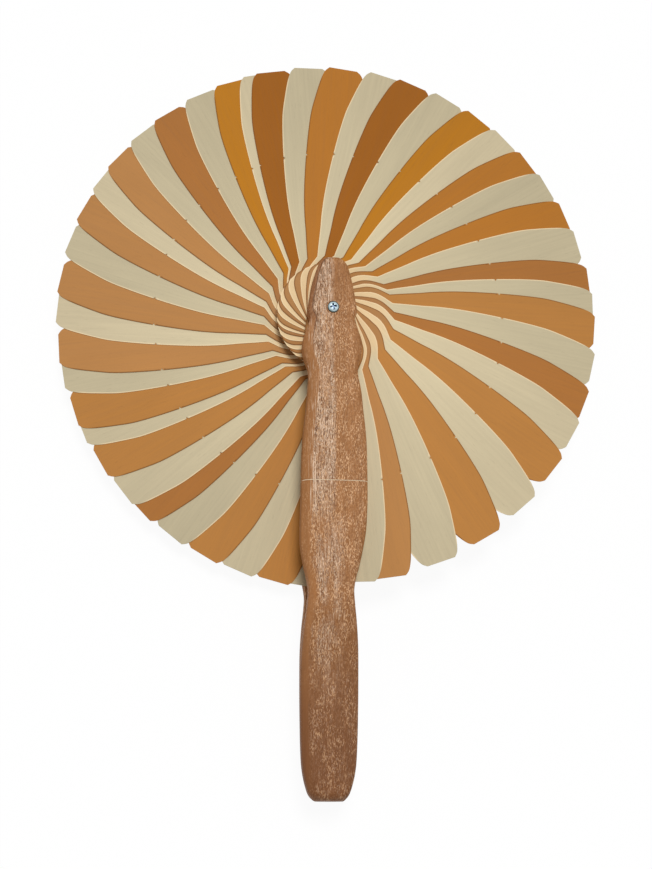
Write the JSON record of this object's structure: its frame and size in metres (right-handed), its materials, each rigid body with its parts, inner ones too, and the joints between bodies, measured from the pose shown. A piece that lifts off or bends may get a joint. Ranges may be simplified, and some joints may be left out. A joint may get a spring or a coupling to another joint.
{
  "type": "wooden hand fan",
  "caption": "Round wooden hand fan of thin leaf-shaped blades in two alternating wood tones, turning on one screw between two thick guards whose long ends form the handle.",
  "frame": {"origin": "where the pivot axis meets the surface that the fan lies on, level with the back face of the rear guard and the tail of the pivot screw", "axes": "+Z along the pivot axis from the rear guard to the front guard, -Y from the pivot along the handle, +X to the right in the picture"},
  "size_m": [0.3013, 0.4148, 0.0427],
  "materials": {
    "blade_stained": "stained, satin",
    "blade_pale": "bare pale wood, satin",
    "guard_wood": "reddish brown wood, dull, with pale flecks",
    "plated_steel": "zinc plated",
    "cotton_thread": "twisted cotton thread"
  },
  "bodies": {
    "rear_guard": {"rear_guard": "guard_wood", "rear_guard_thread": "cotton_thread", "pivot_screw": "plated_steel", "pivot_washer": "plated_steel", "pivot_nut": "plated_steel"},
    "front_guard": {"front_guard": "guard_wood", "front_guard_thread": "cotton_thread"},
    "blade_00": {"blade_00": "blade_stained"},
    "blade_01": {"blade_01": "blade_pale"},
    "blade_02": {"blade_02": "blade_stained"},
    "blade_03": {"blade_03": "blade_pale"},
    "blade_04": {"blade_04": "blade_stained"},
    "blade_05": {"blade_05": "blade_pale"},
    "blade_06": {"blade_06": "blade_stained"},
    "blade_07": {"blade_07": "blade_pale"},
    "blade_08": {"blade_08": "blade_stained"},
    "blade_09": {"blade_09": "blade_pale"},
    "blade_10": {"blade_10": "blade_stained"},
    "blade_11": {"blade_11": "blade_pale"},
    "blade_12": {"blade_12": "blade_stained"},
    "blade_13": {"blade_13": "blade_pale"},
    "blade_14": {"blade_14": "blade_stained"},
    "blade_15": {"blade_15": "blade_pale"},
    "blade_16": {"blade_16": "blade_stained"},
    "blade_17": {"blade_17": "blade_pale"},
    "blade_18": {"blade_18": "blade_stained"},
    "blade_19": {"blade_19": "blade_pale"},
    "blade_20": {"blade_20": "blade_stained"},
    "blade_21": {"blade_21": "blade_pale"},
    "blade_22": {"blade_22": "blade_stained"},
    "blade_23": {"blade_23": "blade_pale"},
    "blade_24": {"blade_24": "blade_stained"},
    "blade_25": {"blade_25": "blade_pale"},
    "blade_26": {"blade_26": "blade_stained"},
    "blade_27": {"blade_27": "blade_pale"},
    "blade_28": {"blade_28": "blade_stained"},
    "blade_29": {"blade_29": "blade_pale"},
    "blade_30": {"blade_30": "blade_stained"},
    "blade_31": {"blade_31": "blade_pale"},
    "blade_32": {"blade_32": "blade_stained"},
    "blade_33": {"blade_33": "blade_pale"},
    "blade_34": {"blade_34": "blade_stained"},
    "blade_35": {"blade_35": "blade_pale"},
    "blade_36": {"blade_36": "blade_stained"},
    "blade_37": {"blade_37": "blade_pale"},
    "blade_38": {"blade_38": "blade_stained"},
    "blade_39": {"blade_39": "blade_pale"},
    "blade_40": {"blade_40": "blade_stained"},
    "blade_41": {"blade_41": "blade_pale"},
    "blade_42": {"blade_42": "blade_stained"},
    "blade_43": {"blade_43": "blade_pale"},
    "blade_44": {"blade_44": "blade_stained"},
    "blade_45": {"blade_45": "blade_pale"},
    "blade_46": {"blade_46": "blade_stained"},
    "blade_47": {"blade_47": "blade_pale"}
  },
  "joints": [
    {"name": "front_guard_turn", "type": "hinge", "parent": "rear_guard", "child": "front_guard", "pos_m": [0, 0, 0], "axis": [0, 0, 1], "range_deg": [0, 360]},
    {"name": "blade_00_turn", "type": "hinge", "parent": "rear_guard", "child": "blade_00", "pos_m": [0, 0, 0], "axis": [0, 0, 1], "range_deg": [0, 358.83]},
    {"name": "blade_01_turn", "type": "hinge", "parent": "rear_guard", "child": "blade_01", "pos_m": [0, 0, 0], "axis": [0, 0, 1], "range_deg": [0, 353.76]},
    {"name": "blade_02_turn", "type": "hinge", "parent": "rear_guard", "child": "blade_02", "pos_m": [0, 0, 0], "axis": [0, 0, 1], "range_deg": [0, 347.15]},
    {"name": "blade_03_turn", "type": "hinge", "parent": "rear_guard", "child": "blade_03", "pos_m": [0, 0, 0], "axis": [0, 0, 1], "range_deg": [0, 336.13]},
    {"name": "blade_04_turn", "type": "hinge", "parent": "rear_guard", "child": "blade_04", "pos_m": [0, 0, 0], "axis": [0, 0, 1], "range_deg": [0, 325.11]},
    {"name": "blade_05_turn", "type": "hinge", "parent": "rear_guard", "child": "blade_05", "pos_m": [0, 0, 0], "axis": [0, 0, 1], "range_deg": [0, 314.46]},
    {"name": "blade_06_turn", "type": "hinge", "parent": "rear_guard", "child": "blade_06", "pos_m": [0, 0, 0], "axis": [0, 0, 1], "range_deg": [0, 304.17]},
    {"name": "blade_07_turn", "type": "hinge", "parent": "rear_guard", "child": "blade_07", "pos_m": [0, 0, 0], "axis": [0, 0, 1], "range_deg": [0, 295.36]},
    {"name": "blade_08_turn", "type": "hinge", "parent": "rear_guard", "child": "blade_08", "pos_m": [0, 0, 0], "axis": [0, 0, 1], "range_deg": [0, 288.01]},
    {"name": "blade_09_turn", "type": "hinge", "parent": "rear_guard", "child": "blade_09", "pos_m": [0, 0, 0], "axis": [0, 0, 1], "range_deg": [0, 279.56]},
    {"name": "blade_10_turn", "type": "hinge", "parent": "rear_guard", "child": "blade_10", "pos_m": [0, 0, 0], "axis": [0, 0, 1], "range_deg": [0, 271.11]},
    {"name": "blade_11_turn", "type": "hinge", "parent": "rear_guard", "child": "blade_11", "pos_m": [0, 0, 0], "axis": [0, 0, 1], "range_deg": [0, 265.97]},
    {"name": "blade_12_turn", "type": "hinge", "parent": "rear_guard", "child": "blade_12", "pos_m": [0, 0, 0], "axis": [0, 0, 1], "range_deg": [0, 260.09]},
    {"name": "blade_13_turn", "type": "hinge", "parent": "rear_guard", "child": "blade_13", "pos_m": [0, 0, 0], "axis": [0, 0, 1], "range_deg": [0, 251.28]},
    {"name": "blade_14_turn", "type": "hinge", "parent": "rear_guard", "child": "blade_14", "pos_m": [0, 0, 0], "axis": [0, 0, 1], "range_deg": [0, 244.3]},
    {"name": "blade_15_turn", "type": "hinge", "parent": "rear_guard", "child": "blade_15", "pos_m": [0, 0, 0], "axis": [0, 0, 1], "range_deg": [0, 236.58]},
    {"name": "blade_16_turn", "type": "hinge", "parent": "rear_guard", "child": "blade_16", "pos_m": [0, 0, 0], "axis": [0, 0, 1], "range_deg": [0, 229.97]},
    {"name": "blade_17_turn", "type": "hinge", "parent": "rear_guard", "child": "blade_17", "pos_m": [0, 0, 0], "axis": [0, 0, 1], "range_deg": [0, 222.62]},
    {"name": "blade_18_turn", "type": "hinge", "parent": "rear_guard", "child": "blade_18", "pos_m": [0, 0, 0], "axis": [0, 0, 1], "range_deg": [0, 215.28]},
    {"name": "blade_19_turn", "type": "hinge", "parent": "rear_guard", "child": "blade_19", "pos_m": [0, 0, 0], "axis": [0, 0, 1], "range_deg": [0, 207.19]},
    {"name": "blade_20_turn", "type": "hinge", "parent": "rear_guard", "child": "blade_20", "pos_m": [0, 0, 0], "axis": [0, 0, 1], "range_deg": [0, 198.74]},
    {"name": "blade_21_turn", "type": "hinge", "parent": "rear_guard", "child": "blade_21", "pos_m": [0, 0, 0], "axis": [0, 0, 1], "range_deg": [0, 192.13]},
    {"name": "blade_22_turn", "type": "hinge", "parent": "rear_guard", "child": "blade_22", "pos_m": [0, 0, 0], "axis": [0, 0, 1], "range_deg": [0, 182.95]},
    {"name": "blade_23_turn", "type": "hinge", "parent": "rear_guard", "child": "blade_23", "pos_m": [0, 0, 0], "axis": [0, 0, 1], "range_deg": [0, 175.23]},
    {"name": "blade_24_turn", "type": "hinge", "parent": "rear_guard", "child": "blade_24", "pos_m": [0, 0, 0], "axis": [0, 0, 1], "range_deg": [0, 166.79]},
    {"name": "blade_25_turn", "type": "hinge", "parent": "rear_guard", "child": "blade_25", "pos_m": [0, 0, 0], "axis": [0, 0, 1], "range_deg": [0, 163.85]},
    {"name": "blade_26_turn", "type": "hinge", "parent": "rear_guard", "child": "blade_26", "pos_m": [0, 0, 0], "axis": [0, 0, 1], "range_deg": [0, 157.6]},
    {"name": "blade_27_turn", "type": "hinge", "parent": "rear_guard", "child": "blade_27", "pos_m": [0, 0, 0], "axis": [0, 0, 1], "range_deg": [0, 150.26]},
    {"name": "blade_28_turn", "type": "hinge", "parent": "rear_guard", "child": "blade_28", "pos_m": [0, 0, 0], "axis": [0, 0, 1], "range_deg": [0, 141.81]},
    {"name": "blade_29_turn", "type": "hinge", "parent": "rear_guard", "child": "blade_29", "pos_m": [0, 0, 0], "axis": [0, 0, 1], "range_deg": [0, 134.83]},
    {"name": "blade_30_turn", "type": "hinge", "parent": "rear_guard", "child": "blade_30", "pos_m": [0, 0, 0], "axis": [0, 0, 1], "range_deg": [0, 127.11]},
    {"name": "blade_31_turn", "type": "hinge", "parent": "rear_guard", "child": "blade_31", "pos_m": [0, 0, 0], "axis": [0, 0, 1], "range_deg": [0, 121.23]},
    {"name": "blade_32_turn", "type": "hinge", "parent": "rear_guard", "child": "blade_32", "pos_m": [0, 0, 0], "axis": [0, 0, 1], "range_deg": [0, 113.52]},
    {"name": "blade_33_turn", "type": "hinge", "parent": "rear_guard", "child": "blade_33", "pos_m": [0, 0, 0], "axis": [0, 0, 1], "range_deg": [0, 105.81]},
    {"name": "blade_34_turn", "type": "hinge", "parent": "rear_guard", "child": "blade_34", "pos_m": [0, 0, 0], "axis": [0, 0, 1], "range_deg": [0, 96.99]},
    {"name": "blade_35_turn", "type": "hinge", "parent": "rear_guard", "child": "blade_35", "pos_m": [0, 0, 0], "axis": [0, 0, 1], "range_deg": [0, 90.38]},
    {"name": "blade_36_turn", "type": "hinge", "parent": "rear_guard", "child": "blade_36", "pos_m": [0, 0, 0], "axis": [0, 0, 1], "range_deg": [0, 81.56]},
    {"name": "blade_37_turn", "type": "hinge", "parent": "rear_guard", "child": "blade_37", "pos_m": [0, 0, 0], "axis": [0, 0, 1], "range_deg": [0, 76.05]},
    {"name": "blade_38_turn", "type": "hinge", "parent": "rear_guard", "child": "blade_38", "pos_m": [0, 0, 0], "axis": [0, 0, 1], "range_deg": [0, 67.6]},
    {"name": "blade_39_turn", "type": "hinge", "parent": "rear_guard", "child": "blade_39", "pos_m": [0, 0, 0], "axis": [0, 0, 1], "range_deg": [0, 63.56]},
    {"name": "blade_40_turn", "type": "hinge", "parent": "rear_guard", "child": "blade_40", "pos_m": [0, 0, 0], "axis": [0, 0, 1], "range_deg": [0, 55.48]},
    {"name": "blade_41_turn", "type": "hinge", "parent": "rear_guard", "child": "blade_41", "pos_m": [0, 0, 0], "axis": [0, 0, 1], "range_deg": [0, 47.76]},
    {"name": "blade_42_turn", "type": "hinge", "parent": "rear_guard", "child": "blade_42", "pos_m": [0, 0, 0], "axis": [0, 0, 1], "range_deg": [0, 42.62]},
    {"name": "blade_43_turn", "type": "hinge", "parent": "rear_guard", "child": "blade_43", "pos_m": [0, 0, 0], "axis": [0, 0, 1], "range_deg": [0, 34.54]},
    {"name": "blade_44_turn", "type": "hinge", "parent": "rear_guard", "child": "blade_44", "pos_m": [0, 0, 0], "axis": [0, 0, 1], "range_deg": [0, 26.46]},
    {"name": "blade_45_turn", "type": "hinge", "parent": "rear_guard", "child": "blade_45", "pos_m": [0, 0, 0], "axis": [0, 0, 1], "range_deg": [0, 18.74]},
    {"name": "blade_46_turn", "type": "hinge", "parent": "rear_guard", "child": "blade_46", "pos_m": [0, 0, 0], "axis": [0, 0, 1], "range_deg": [0, 11.03]},
    {"name": "blade_47_turn", "type": "hinge", "parent": "rear_guard", "child": "blade_47", "pos_m": [0, 0, 0], "axis": [0, 0, 1], "range_deg": [0, 4.42]}
  ],
  "couplings": [
    {"joint": "blade_00_turn", "follows": "front_guard_turn", "ratio": 0.99673},
    {"joint": "blade_01_turn", "follows": "front_guard_turn", "ratio": 0.98265},
    {"joint": "blade_02_turn", "follows": "front_guard_turn", "ratio": 0.96429},
    {"joint": "blade_03_turn", "follows": "front_guard_turn", "ratio": 0.93367},
    {"joint": "blade_04_turn", "follows": "front_guard_turn", "ratio": 0.90306},
    {"joint": "blade_05_turn", "follows": "front_guard_turn", "ratio": 0.87347},
    {"joint": "blade_06_turn", "follows": "front_guard_turn", "ratio": 0.8449},
    {"joint": "blade_07_turn", "follows": "front_guard_turn", "ratio": 0.82041},
    {"joint": "blade_08_turn", "follows": "front_guard_turn", "ratio": 0.8},
    {"joint": "blade_09_turn", "follows": "front_guard_turn", "ratio": 0.77653},
    {"joint": "blade_10_turn", "follows": "front_guard_turn", "ratio": 0.75306},
    {"joint": "blade_11_turn", "follows": "front_guard_turn", "ratio": 0.73878},
    {"joint": "blade_12_turn", "follows": "front_guard_turn", "ratio": 0.72245},
    {"joint": "blade_13_turn", "follows": "front_guard_turn", "ratio": 0.69796},
    {"joint": "blade_14_turn", "follows": "front_guard_turn", "ratio": 0.67857},
    {"joint": "blade_15_turn", "follows": "front_guard_turn", "ratio": 0.65714},
    {"joint": "blade_16_turn", "follows": "front_guard_turn", "ratio": 0.63878},
    {"joint": "blade_17_turn", "follows": "front_guard_turn", "ratio": 0.61837},
    {"joint": "blade_18_turn", "follows": "front_guard_turn", "ratio": 0.59796},
    {"joint": "blade_19_turn", "follows": "front_guard_turn", "ratio": 0.57551},
    {"joint": "blade_20_turn", "follows": "front_guard_turn", "ratio": 0.55204},
    {"joint": "blade_21_turn", "follows": "front_guard_turn", "ratio": 0.53367},
    {"joint": "blade_22_turn", "follows": "front_guard_turn", "ratio": 0.50816},
    {"joint": "blade_23_turn", "follows": "front_guard_turn", "ratio": 0.48673},
    {"joint": "blade_24_turn", "follows": "front_guard_turn", "ratio": 0.46327},
    {"joint": "blade_25_turn", "follows": "front_guard_turn", "ratio": 0.4551},
    {"joint": "blade_26_turn", "follows": "front_guard_turn", "ratio": 0.43776},
    {"joint": "blade_27_turn", "follows": "front_guard_turn", "ratio": 0.41735},
    {"joint": "blade_28_turn", "follows": "front_guard_turn", "ratio": 0.39388},
    {"joint": "blade_29_turn", "follows": "front_guard_turn", "ratio": 0.37449},
    {"joint": "blade_30_turn", "follows": "front_guard_turn", "ratio": 0.35306},
    {"joint": "blade_31_turn", "follows": "front_guard_turn", "ratio": 0.33673},
    {"joint": "blade_32_turn", "follows": "front_guard_turn", "ratio": 0.31531},
    {"joint": "blade_33_turn", "follows": "front_guard_turn", "ratio": 0.29388},
    {"joint": "blade_34_turn", "follows": "front_guard_turn", "ratio": 0.26939},
    {"joint": "blade_35_turn", "follows": "front_guard_turn", "ratio": 0.25102},
    {"joint": "blade_36_turn", "follows": "front_guard_turn", "ratio": 0.22653},
    {"joint": "blade_37_turn", "follows": "front_guard_turn", "ratio": 0.21122},
    {"joint": "blade_38_turn", "follows": "front_guard_turn", "ratio": 0.18776},
    {"joint": "blade_39_turn", "follows": "front_guard_turn", "ratio": 0.17653},
    {"joint": "blade_40_turn", "follows": "front_guard_turn", "ratio": 0.15408},
    {"joint": "blade_41_turn", "follows": "front_guard_turn", "ratio": 0.13265},
    {"joint": "blade_42_turn", "follows": "front_guard_turn", "ratio": 0.11837},
    {"joint": "blade_43_turn", "follows": "front_guard_turn", "ratio": 0.09592},
    {"joint": "blade_44_turn", "follows": "front_guard_turn", "ratio": 0.07347},
    {"joint": "blade_45_turn", "follows": "front_guard_turn", "ratio": 0.05204},
    {"joint": "blade_46_turn", "follows": "front_guard_turn", "ratio": 0.03061},
    {"joint": "blade_47_turn", "follows": "front_guard_turn", "ratio": 0.01224}
  ]
}
